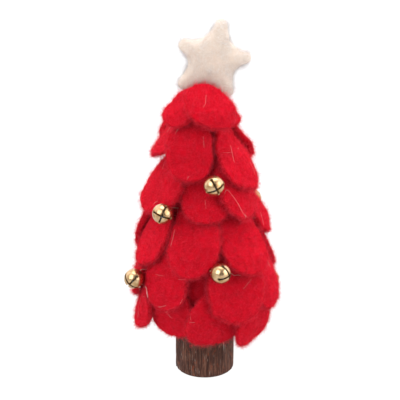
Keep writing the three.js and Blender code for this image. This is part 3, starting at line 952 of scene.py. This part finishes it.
@dataclass
class Crown(FeltPiece):
    """Star of cream felt with five fat, blunt points, thick in the middle and soft at its edge.

    Each arm has its angle, clockwise from the top, and its reach in millimetres.
    """

    centre: tuple[float, float, float] = (0.004, 0.0, 0.1641)
    arms: tuple[tuple[float, float], ...] = (
        (13, 20.2), (86, 18.4), (156, 20.0), (230.5, 21.6), (297, 18.7),
    )
    hub: float = 8.6 * MM
    tip: float = 3.3 * MM
    blend: float = 1.6 * MM
    thickness: float = 8 * MM
    sides: int = 180
    rings: int = 36
    farthest: float = 30 * MM
    halvings: int = 30

    def shape(self, room: BellRoom) -> Object:
        """Makes the star and ties it to the tree.

        Args:
            room: Room of the bells. Not used: the star doesn't reach it.

        Returns:
            The star.
        """
        turn = 2 * np.pi * np.arange(self.sides) / self.sides
        edge = self.outline(turn)
        arc = np.linspace(0, np.pi, self.rings + 1)
        share, lift = np.sin(arc) ** 0.5, np.cos(arc) * self.thickness / 2
        reach = share[1:-1, None] * edge[None]
        points = np.stack([
            reach * np.sin(turn), np.broadcast_to(-lift[1:-1, None], reach.shape), reach * np.cos(turn),
        ], -1).reshape(-1, 3)
        ends = np.array([[0, -lift[0], 0], [0, -lift[-1], 0]])
        points = np.concatenate([points, ends]) + self.centre
        self.piece = make_object("star_felt", points, ring_quads(self.rings - 1, self.sides))
        points = corners_of(self.piece)
        move_corners(self.piece, points + normals_of(self.piece) * self.lumps(points)[:, None])
        self.piece.data.shade_smooth()
        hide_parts(self.node)
        finish_piece(self.piece, TREE, self.felt)
        return self.piece

    def outline(self, turn: np.ndarray) -> np.ndarray:
        """Reach of the star's edge at each turn, clockwise from the top.

        Args:
            turn: Angles in radians.

        Returns:
            One radius for each angle.
        """
        near, far = np.zeros_like(turn), np.full_like(turn, self.farthest)
        for _ in range(self.halvings):
            middle = (near + far) / 2
            inside = self.distance(middle * np.sin(turn), middle * np.cos(turn)) < 0
            near, far = np.where(inside, middle, near), np.where(inside, far, middle)
        return near

    def distance(self, x: np.ndarray, z: np.ndarray) -> np.ndarray:
        """Distance from the star's edge, negative inside, with the points blended softly.

        Args:
            x: Places to the right of the centre.
            z: Places above the centre.

        Returns:
            One distance for each place.
        """
        total = np.zeros_like(x)
        for angle, reach in self.arms:
            way = math.radians(angle)
            length = reach * MM - self.tip
            along = x * math.sin(way) + z * math.cos(way)
            share = np.clip(along / length, 0, 1)
            apart = np.hypot(x - share * length * math.sin(way), z - share * length * math.cos(way))
            total += np.exp(-(apart - self.hub * (1 - share) - self.tip * share) / self.blend)
        return -self.blend * np.log(total)


@dataclass
class Trunk:
    """A stub of branch with its bark on, sawn at both ends and bored for the peg."""

    bark: Material
    sawn: Material
    radius: float = 15.1 * MM
    height: float = 34.7 * MM
    edge: float = 0.8 * MM
    bore: float = 4.3 * MM
    bore_floor: float = 18.4 * MM
    sides: int = 220
    rows: int = 64
    foot_rings: int = 12
    head_rings: int = 8
    sharp: float = 50.0
    pith: float = 0.4 * MM
    ridge: float = 0.55 * MM
    ridge_top: float = 0.25 * MM
    ridge_width: float = 1.7 * MM
    ridge_length: float = 17 * MM
    crack_turn: float = -17.0
    crack_depth: float = 0.7 * MM
    crack_width: float = 0.45 * MM
    crack_foot: float = 12 * MM
    crack_fade: float = 8 * MM
    crack_sway: float = 0.03
    crack_wave: float = 3.1 * MM

    def build(self) -> None:
        """Makes the trunk and ties it to the tree."""
        side = [
            (self.radius, z, 1.0)
            for z in np.linspace(self.edge, self.height - self.edge, self.rows)
        ]
        rim = self.radius - self.edge
        foot = [(r, 0.0, 0.0) for r in np.linspace(self.pith, rim, self.foot_rings)]
        head = [(r, self.height, 0.0) for r in np.linspace(rim, self.bore, self.head_rings)]
        hole = [(self.bore, self.bore_floor, 0.0), (self.pith, self.bore_floor, 0.0)]
        profile = [*foot, *side, *head, *hole]
        turn = 2 * np.pi * np.arange(self.sides) / self.sides
        rings = []
        for radius, z, rough in profile:
            reach = radius + rough * self.relief(turn, z)
            level = np.full(self.sides, z)
            rings.append(np.stack([reach * np.sin(turn), -reach * np.cos(turn), level], 1))
        points = np.concatenate([*rings, [[0, 0, 0], [0, 0, self.bore_floor]]])
        faces = ring_quads(len(profile), self.sides)
        trunk = make_object("trunk_branch", points, faces)
        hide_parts("trunk")
        finish_piece(trunk, TREE, self.bark)
        trunk.data.materials.append(self.sawn)
        cut = np.ones(len(faces), np.int32)
        cut[self.sides * (len(foot) - 1):self.sides * (len(foot) + len(side))] = 0
        trunk.data.polygons.foreach_set("material_index", cut)
        trunk.data.set_sharp_from_angle(angle=math.radians(self.sharp))

    def relief(self, turn: np.ndarray, z: float) -> np.ndarray:
        """Height of the bark's upright ridges and its one deep crack.

        Args:
            turn: Angles in radians, from the front to the right.
            z: Height above the foot.

        Returns:
            One height for each angle.
        """
        wide, long = self.radius / self.ridge_width, z / self.ridge_length
        ridges = np.array([
            noise.fractal(Vector((wide * math.sin(a), wide * math.cos(a), long)), 0.8, 2.1, 4)
            for a in turn
        ])
        sway = math.radians(self.crack_turn) + self.crack_sway * math.sin(z / self.crack_wave)
        apart = (turn - sway + np.pi) % (2 * np.pi) - np.pi
        open_up = np.clip((z - self.crack_foot) / self.crack_fade, 0, 1)
        crack = np.exp(-(apart * self.radius / self.crack_width) ** 2) * open_up
        return np.minimum(self.ridge * ridges, self.ridge_top) - self.crack_depth * crack


@dataclass
class JingleBell:
    """A pressed brass ball with a wire loop on top, crossed slits below and a loose steel shot."""

    name: str
    spin: float
    brass: Material
    steel: Material
    radius: float = 5 * MM
    wall: float = 0.5 * MM
    slit: float = 0.9 * MM
    hole: float = 0.75 * MM
    slit_half_angle: float = 66.0
    loop: float = 1 * MM
    loop_steps: int = 28
    wire: float = 0.3 * MM
    wire_sides: int = 10
    standoff: float = 0.55 * MM
    shot: float = 1.6 * MM
    shot_drop: float = 2.2725 * MM
    shot_dent: float = 0.02
    shot_dent_size: float = 1.1 * MM
    clearance: float = 0.25 * MM
    loop_room: float = 1.5 * MM
    swing_steps: int = 9
    hole_steps: int = 20
    tool_floor: float = -6.5 * MM
    tool_reach: float = 7 * MM
    sharp: float = 35.0
    eye: Vector = field(init=False)
    axis: Vector = field(init=False)
    centre: Vector = field(init=False)
    limit: float = field(init=False)

    def __post_init__(self) -> None:
        """Reads the bell's hinge and place from the frame."""
        hinge = next(j for j in frame["joints"] if j["name"] == self.name + "_swing")
        self.eye = Vector(hinge["pos_m"])
        self.axis = Vector(hinge["axis"]).normalized()
        self.limit = hinge["range_deg"][1]
        low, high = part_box(self.name + "_clapper")
        self.centre = (low + high) / 2 + Vector((0, 0, self.shot_drop))

    def swing(self) -> list[tuple[np.ndarray, float]]:
        """Room that the bell needs over its swing.

        Returns:
            Centre and radius of its ball at steps of the swing, and of its loop.
        """
        balls = []
        for angle in np.linspace(0, self.limit, self.swing_steps):
            turn = Matrix.Rotation(math.radians(angle), 3, self.axis)
            middle = self.eye + turn @ (self.centre - self.eye)
            balls.append((np.array(middle), self.radius + self.clearance))
        return [*balls, (np.array(self.eye), self.loop_room)]

    def build(self) -> None:
        """Makes the shell and the shot, and ties each to its body."""
        top = (self.eye - self.centre).normalized()
        basis = Matrix((self.axis, top.cross(self.axis), top)).transposed().to_4x4()
        shell = self.shell()
        shell.data.transform(Matrix.Translation(self.centre) @ basis)
        shell.data.update()
        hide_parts(self.name + "_shell")
        finish_piece(shell, self.name, self.brass)
        shot = self.rattle()
        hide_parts(self.name + "_clapper")
        finish_piece(shot, self.name + "_rattle", self.steel)

    def ball(self, radius: float, name: str) -> Object:
        """Makes a ball with its poles on the loop's line.

        Args:
            radius: Its radius.
            name: Name of its object.

        Returns:
            The ball.
        """
        shape = bmesh.new()
        bmesh.ops.create_uvsphere(shape, u_segments=64, v_segments=32, radius=radius)
        return linked(name, settled(name, shape))

    def cutter(self, turn: float) -> Object:
        """Makes the tool that cuts one slit with a round hole at each end.

        Args:
            turn: Angle of the slit about the loop's line.

        Returns:
            The tool.
        """
        height = -self.radius * math.cos(math.radians(self.slit_half_angle))
        half = self.slit / 2
        start = math.atan2(-math.sqrt(self.hole ** 2 - half ** 2), half)
        arc = np.linspace(start, math.pi - start, self.hole_steps)
        section = np.concatenate([
            [[-half, self.tool_floor], [half, self.tool_floor]],
            np.stack([self.hole * np.cos(arc), height + self.hole * np.sin(arc)], 1),
        ])
        count = len(section)
        points = np.concatenate([
            np.insert(section, 0, end, axis=1) for end in (-self.tool_reach, self.tool_reach)
        ])
        made = bpy.data.meshes.new("slit_tool")
        around = [(i, (i + 1) % count, count + (i + 1) % count, count + i) for i in range(count)]
        made.from_pydata(points.tolist(), [], [
            *around, tuple(reversed(range(count))), tuple(range(count, 2 * count)),
        ])
        made.transform(Matrix.Rotation(math.radians(turn), 4, "Z"))
        return linked("slit_tool", made)

    def shell(self) -> Object:
        """Makes the hollow slit ball with its loop, about the origin.

        Returns:
            The shell.
        """
        outside = self.ball(self.radius, self.name + "_brass")
        turn = 2 * np.pi * np.arange(self.loop_steps) / self.loop_steps
        middle = self.radius + self.standoff
        ring = np.stack([0 * turn, self.loop * np.sin(turn), middle + self.loop * np.cos(turn)], 1)
        wire = make_object("loop_wire", *tube(ring, self.wire, self.wire_sides, closed=True))
        tools = [(wire, "UNION"), (self.ball(self.radius - self.wall, "inside"), "DIFFERENCE")]
        tools += [(self.cutter(self.spin + quarter), "DIFFERENCE") for quarter in (0, 90)]
        for tool, operation in tools:
            step = outside.modifiers.new("form", "BOOLEAN")
            step.operation, step.solver, step.object = operation, "EXACT", tool
        mesh = applied(outside)
        outside.modifiers.clear()
        outside.data = mesh
        for tool, _ in tools:
            bpy.data.objects.remove(tool)
        mesh.shade_smooth()
        mesh.set_sharp_from_angle(angle=math.radians(self.sharp))
        return outside

    def rattle(self) -> Object:
        """Makes the shot: a ball that tumbling has left a little out of round.

        Returns:
            The shot.
        """
        shape = bmesh.new()
        bmesh.ops.create_icosphere(shape, subdivisions=4, radius=self.shot)
        for corner in shape.verts:
            dent = noise.noise(corner.co / self.shot_dent_size + self.centre / MM)
            corner.co *= 1 - self.shot_dent * max(0.0, dent)
        mesh = settled(self.name + "_shot", shape)
        mesh.transform(Matrix.Translation(self.centre - Vector((0, 0, self.shot_drop))))
        mesh.shade_smooth()
        return linked(mesh.name, mesh)


@dataclass
class SewingThread:
    """Two-ply cotton, sewn through the core from bell to bell along one route, in millimetres."""

    cotton: Material
    route: tuple[tuple[float, float, float], ...]
    ply: float = 0.135 * MM
    offset: float = 0.115 * MM
    twist: float = 1.3 * MM
    step: float = 0.16 * MM
    sides: int = 5

    def build(self) -> None:
        """Makes the thread and ties it to the tree."""
        corners = np.array(self.route) * MM
        places = np.arange(0, lengths_along(corners)[-1], self.step)
        line = points_along(corners, places)
        ahead = unit(np.gradient(line, axis=0))
        side = carried(np.array([0.0, 0.0, 1.0]), ahead)
        other = np.cross(ahead, side)
        angle = (2 * np.pi * places / self.twist)[:, None]
        spiral = self.offset * (np.cos(angle) * side + np.sin(angle) * other)
        plies = joined([tube(line + sign * spiral, self.ply, self.sides) for sign in (1, -1)])
        thread = make_object("bell_thread_two_ply", *plies)
        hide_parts("bell_thread")
        finish_piece(thread, TREE, self.cotton)


@dataclass
class StrayFibres:
    """Pale hairs and a curl of thread that lie on the felt."""

    hair: Material
    camera: StudioCamera
    lines: tuple[tuple[float, tuple[tuple[float, float], ...]], ...]
    cover: BVHTree
    room: BellRoom
    step_px: float = 0.8
    fewest: int = 4
    smoothing: int = 3
    sides: int = 5
    longest_jump: float = 2.2 * MM
    lift: float = 0.05 * MM
    scattered: int = 60
    turns: tuple[float, float] = (30.0, 330.0)
    heights: tuple[float, float] = (0.03, 0.145)
    drift: tuple[float, float] = (0.16, 6 * MM)
    steps: int = 14
    start_radius: float = 0.1
    widths: tuple[float, float] = (0.04, 0.07)

    def build(self) -> None:
        """Lays the hairs on the felt, clear of the bells, and ties them to the tree."""
        parts = []
        for width_mm, corners in self.lines:
            for run in self.laid(np.array(corners), width_mm * MM):
                parts.append(self.hair_along(run, width_mm * MM))
        parts += self.strewn()
        fibres = make_object("stray_fibres", *joined([part for part in parts if part is not None]))
        finish_piece(fibres, TREE, self.hair)

    def laid(self, corners: np.ndarray, width: float) -> list[np.ndarray]:
        """Finds where a line of the picture lies on the felt.

        Args:
            corners: Points of the line, in pixels of the picture.
            width: Radius of the hair.

        Returns:
            Runs of places on the felt, parted where the felt falls away.
        """
        length = lengths_along(corners)[-1]
        count = max(self.fewest, int(length / self.step_px))
        runs: list[list[np.ndarray]] = [[]]
        for x, y in points_along(corners, np.linspace(0, length, count)):
            hit, normal, _, _ = self.cover.ray_cast(self.camera.place(), self.camera.ray(x, y))
            if hit is None:
                runs.append([])
                continue
            place = np.array(hit + normal * (width + self.lift))
            if runs[-1] and np.linalg.norm(place - runs[-1][-1]) > self.longest_jump:
                runs.append([])
            runs[-1].append(place)
        return [np.array(run) for run in runs if len(run) >= self.fewest]

    def hair_along(self, line: np.ndarray, width: float) -> RawMesh | None:
        """Makes one smooth tapered hair.

        Args:
            line: Places that it passes, one row each.
            width: Its radius in the middle.

        Returns:
            Corners and triangles, or nothing where a bell needs the room.
        """
        for _ in range(self.smoothing):
            line[1:-1] = (line[:-2] + 2 * line[1:-1] + line[2:]) / 4
        line = line[~self.room.holds(line)]
        if len(line) < self.fewest:
            return None
        taper = np.minimum(1, 0.35 + 3 * np.sin(np.pi * np.linspace(0.02, 0.98, len(line))))
        return tube(line, width * taper, self.sides)

    def strewn(self) -> list[RawMesh | None]:
        """Strews short hairs over the rest of the tree.

        Returns:
            Corners and triangles of each hair.
        """
        rng = seeded("stray_fibres")
        hairs = []
        for _ in range(self.scattered):
            turn, height = rng.uniform(*self.turns), rng.uniform(*self.heights)
            drift = rng.uniform(-1, 1, 2) * self.drift
            bend = rng.normal(0, 0.5)
            run = []
            for share in np.linspace(0, 1, self.steps):
                angle = math.radians(turn) + drift[0] * share
                away = Vector((math.sin(angle), -math.cos(angle), 0))
                z = height + drift[1] * (share + bend * share * share)
                start = away * self.start_radius + Vector((0, 0, z))
                hit, normal, _, _ = self.cover.ray_cast(start, -away)
                if hit is None or (run and (Vector(run[-1]) - hit).length > self.longest_jump):
                    break
                run.append(np.array(hit + normal * 2 * self.lift))
            if len(run) >= self.fewest:
                hairs.append(self.hair_along(np.array(run), rng.uniform(*self.widths) * MM))
        return hairs


# Row, number of petals, and their width and length in millimetres
PETAL_ROWS: tuple[tuple[str, int, float, float], ...] = (
    ("f", 8, 24.96, 31.16), ("e", 7, 27.04, 36.10), ("d", 7, 26.0, 39.14), ("c", 6, 26.0, 38.0),
    ("b", 5, 22.88, 38.0), ("a", 3, 17.5, 22.6), ("cap", 1, 19.0, 29.6),
)
# Width and length, in millimetres, of the petals that differ from their row
PETAL_CUTS: dict[str, tuple[float, float]] = {
    "f1": (30.68, 31.16), "f4": (24.96, 27.36), "f5": (30.16, 31.16), "f8": (27.56, 31.16),
    "d6": (22.1, 35.34), "c2": (19.5, 29.64), "c4": (33.02, 38.0), "c5": (23.92, 38.0),
    "b2": (22.36, 40.0), "b3": (25.4, 41.0), "b4": (19.6, 41.0), "b5": (25.4, 41.0),
    "a1": (16.0, 24.4), "a2": (16.3, 21.0), "a3": (18.8, 24.4),
}
BELL_SPINS: tuple[float, ...] = (87, 2, 45, 45, 58, 20, 45, 45)

# Corners of the thread's centreline, in millimetres
THREAD_ROUTE: tuple[tuple[float, float, float], ...] = (
    (2.508, -6.525, 105.722), (2.872, -9.986, 106.644), (3.014, -11.332, 107.002),
    (3.155, -12.678, 107.361), (4.262, -23.213, 110.166), (4.057, -24.293, 110.292),
    (3.158, -24.842, 109.952), (2.09, -25.085, 109.462), (1.12, -24.961, 108.943),
    (0.702, -24.022, 108.532), (-0.405, -13.487, 105.727), (-0.715, -12.475, 105.174),
    (-1.364, -12.132, 104.232), (-9.516, -12.035, 92.898), (-10.356, -12.276, 92.143),
    (-11.239, -13.02, 92.15), (-18.694, -21.213, 95.351), (-19.495, -21.976, 95.315),
    (-20.087, -22.276, 94.429), (-20.505, -22.334, 93.306), (-20.645, -22.137, 92.226),
    (-20.088, -21.407, 91.607), (-12.633, -13.215, 88.406), (-11.943, -12.12, 88.147),
    (-11.684, -10.827, 88.148), (-11.015, 10.79, 90.164), (-11.176, 12.11, 90.359),
    (-11.744, 13.285, 90.683), (-16.55, 20.149, 93.104), (-16.842, 21.176, 93.395),
    (-16.174, 22.053, 93.493), (-15.191, 22.742, 93.493), (-14.138, 23.068, 93.395),
    (-13.273, 22.443, 93.104), (-8.467, 15.579, 90.683), (-7.553, 14.736, 90.293), (-6.354, 14.41, 89.9),
    (10.652, 13.558, 84.9), (11.909, 13.733, 84.7), (12.994, 14.391, 84.891), (18.495, 19.344, 87.009),
    (19.479, 19.76, 87.297), (20.432, 19.204, 87.394), (21.235, 18.313, 87.394), (21.687, 17.307, 87.297),
    (21.171, 16.372, 87.009), (15.671, 11.419, 84.891), (14.811, 10.45, 84.444), (14.233, 9.347, 83.876),
    (2.76, -21.392, 67.366), (2.462, -22.611, 66.967), (2.442, -23.927, 67.031), (3.224, -32.862, 68.961),
    (3.259, -33.962, 68.845), (3.126, -34.536, 67.908), (2.94, -34.802, 66.752), (2.748, -34.693, 65.668),
    (2.604, -33.748, 65.11), (1.822, -24.813, 63.18), (1.429, -23.623, 62.911), (0.488, -22.779, 62.696),
    (-20.569, -11.166, 59.411), (-21.799, -10.802, 59.308), (-23.06, -11.051, 59.376),
    (-31.292, -14.63, 60.375), (-32.346, -14.909, 60.184), (-32.956, -14.637, 59.301),
    (-33.288, -14.167, 58.248), (-33.259, -13.617, 57.288), (-32.399, -13.064, 56.865),
    (-24.167, -9.484, 55.866), (-23.094, -8.739, 55.716), (-22.429, -7.615, 55.573),
    (-12.675, 20.145, 52.65), (-12.477, 21.448, 52.541), (-12.805, 22.728, 52.49),
    (-17.682, 33.186, 52.307), (-17.808, 34.286, 52.29), (-17.005, 35.047, 52.285),
    (-15.917, 35.554, 52.285), (-14.818, 35.68, 52.29), (-14.057, 34.877, 52.307), (-9.18, 24.419, 52.49),
    (-8.411, 23.354, 52.447), (-7.286, 22.696, 52.273), (19.012, 13.521, 47.443),
    (20.292, 13.341, 47.198), (21.529, 13.712, 46.941), (28.64, 17.493, 45.401), (29.715, 17.668, 45.204),
    (30.511, 16.903, 45.139), (31.075, 15.843, 45.139), (31.264, 14.755, 45.204),
    (30.518, 13.962, 45.401), (23.406, 10.18, 46.941), (22.192, 9.535, 47.204), (20.978, 8.889, 47.466),
    (17.856, 7.229, 48.142),
)

# Radius of each fibre in millimetres, and where it lies, in pixels of the camera's picture
STRAY_LINES: tuple[tuple[float, tuple[tuple[float, float], ...]], ...] = (
    (0.055, ((206, 95), (205.5, 104), (203, 107.5))),
    (0.047, ((203.2, 136.6), (204, 148))),
    (0.047, ((205.9, 173.7), (209.5, 173.7), (210.4, 177.7))),
    (0.072, ((224.6, 193.8), (226, 190), (228, 190), (233.6, 197.3), (238, 203.6), (243.4, 214.3),
            (247, 217), (256, 218))),
    (0.062, ((153.7, 204.5), (155.4, 201.8), (157.7, 201.8))),
    (0.047, ((189, 176), (187, 179.5))),
    (0.047, ((205, 200), (206, 209))),
    (0.039, ((223, 152.7), (232.7, 152.7))),
    (0.221, ((139.8, 287.8), (141.8, 288.5), (144.4, 287.5))),
    (0.234, ((140.8, 285.2), (143.9, 284.2), (146.9, 287.8), (147.4, 293.4), (149, 300), (152.6, 304.6))),
    (0.047, ((178, 279.6), (191.8, 279.3))),
    (0.047, ((182.6, 299), (180, 304))),
    (0.055, ((186, 322), (195, 322.4))),
    (0.047, ((190.3, 316.3), (190.8, 320))),
    (0.039, ((155, 255.6), (156.6, 259), (153.6, 265))),
    (0.047, ((137.2, 296.4), (145, 296.4))),
    (0.12, ((231, 273), (234, 276), (238, 274.5), (241, 276))),
)


def felt_cover(pieces: Sequence[Object]) -> BVHTree:
    """Gathers felt pieces into one tree for ray casts."""
    points, faces = joined([(corners_of(piece), quads_of(piece)) for piece in pieces])
    return BVHTree.FromPolygons(points.tolist(), faces.tolist())


def make_petals(felt: Material, hair: Material) -> list[Petal]:
    """Lists the petals of all the rows, from the hem up.

    Args:
        felt: Material of the felt.
        hair: Material of the loose hair.

    Returns:
        The petals, not yet built.
    """
    petals = []
    for row, count, width, length in PETAL_ROWS:
        for number in range(1, count + 1):
            name = f"{row}{number}"
            wide, long = PETAL_CUTS.get(name, (width, length))
            petals.append(Petal("petal_" + name, felt, hair, width=wide * MM, length=long * MM))
    return petals


def main() -> None:
    """Builds the studio and the tree, piece by piece."""
    logging.basicConfig(level=logging.INFO, format="%(name)s: %(message)s")
    noise.seed_set(NOISE_SEED)
    camera = StudioCamera()
    camera.build()
    WhiteStudio().build()
    red_felt, red_hair = RED_FELT.material(), RED_HAIR.material()
    brass, steel = BRASS.material(), STEEL.material()
    bells = [
        JingleBell(f"bell_{number}", spin, brass, steel)
        for number, spin in enumerate(BELL_SPINS, 1)
    ]
    room = BellRoom([ball for bell in bells for ball in bell.swing()])
    for bell in bells:
        bell.build()
    Trunk(BARK.material(), SAWN_END.material()).build()
    peg = frame["nodes"]["trunk_peg"]
    peg.data.materials.clear()
    peg.data.materials.append(BEECH.material())
    core = FeltPiece(
        "core", red_felt, red_hair, voxel=1.2 * MM, rounds=8, hairs_per_mm2=2.0, rim_hair=0.0,
        hair_length=4 * MM,
    )
    core.shape(room)
    star = Crown(
        "star", CREAM_FELT.material(), CREAM_HAIR.material(), Slot.CREAM_FELT, lump=0.07 * MM,
        hairs_per_mm2=3.4, rim_hair=5.0, hair_length=3.4 * MM, hair_radius=0.025 * MM, tuft=5 * MM,
    )
    star.shape(room)
    petals = make_petals(red_felt, red_hair)
    cover = felt_cover([core.piece, star.piece, *(petal.shape(room) for petal in petals)])
    for petal in petals:
        petal.declare(petal.comb(cover, room))
    star.comb(cover, room)
    core.comb(cover, room)
    SewingThread(COTTON.material(), THREAD_ROUTE).build()
    StrayFibres(PALE_HAIR.material(), camera, STRAY_LINES, cover, room).build()


if __name__ == "__main__":
    main()
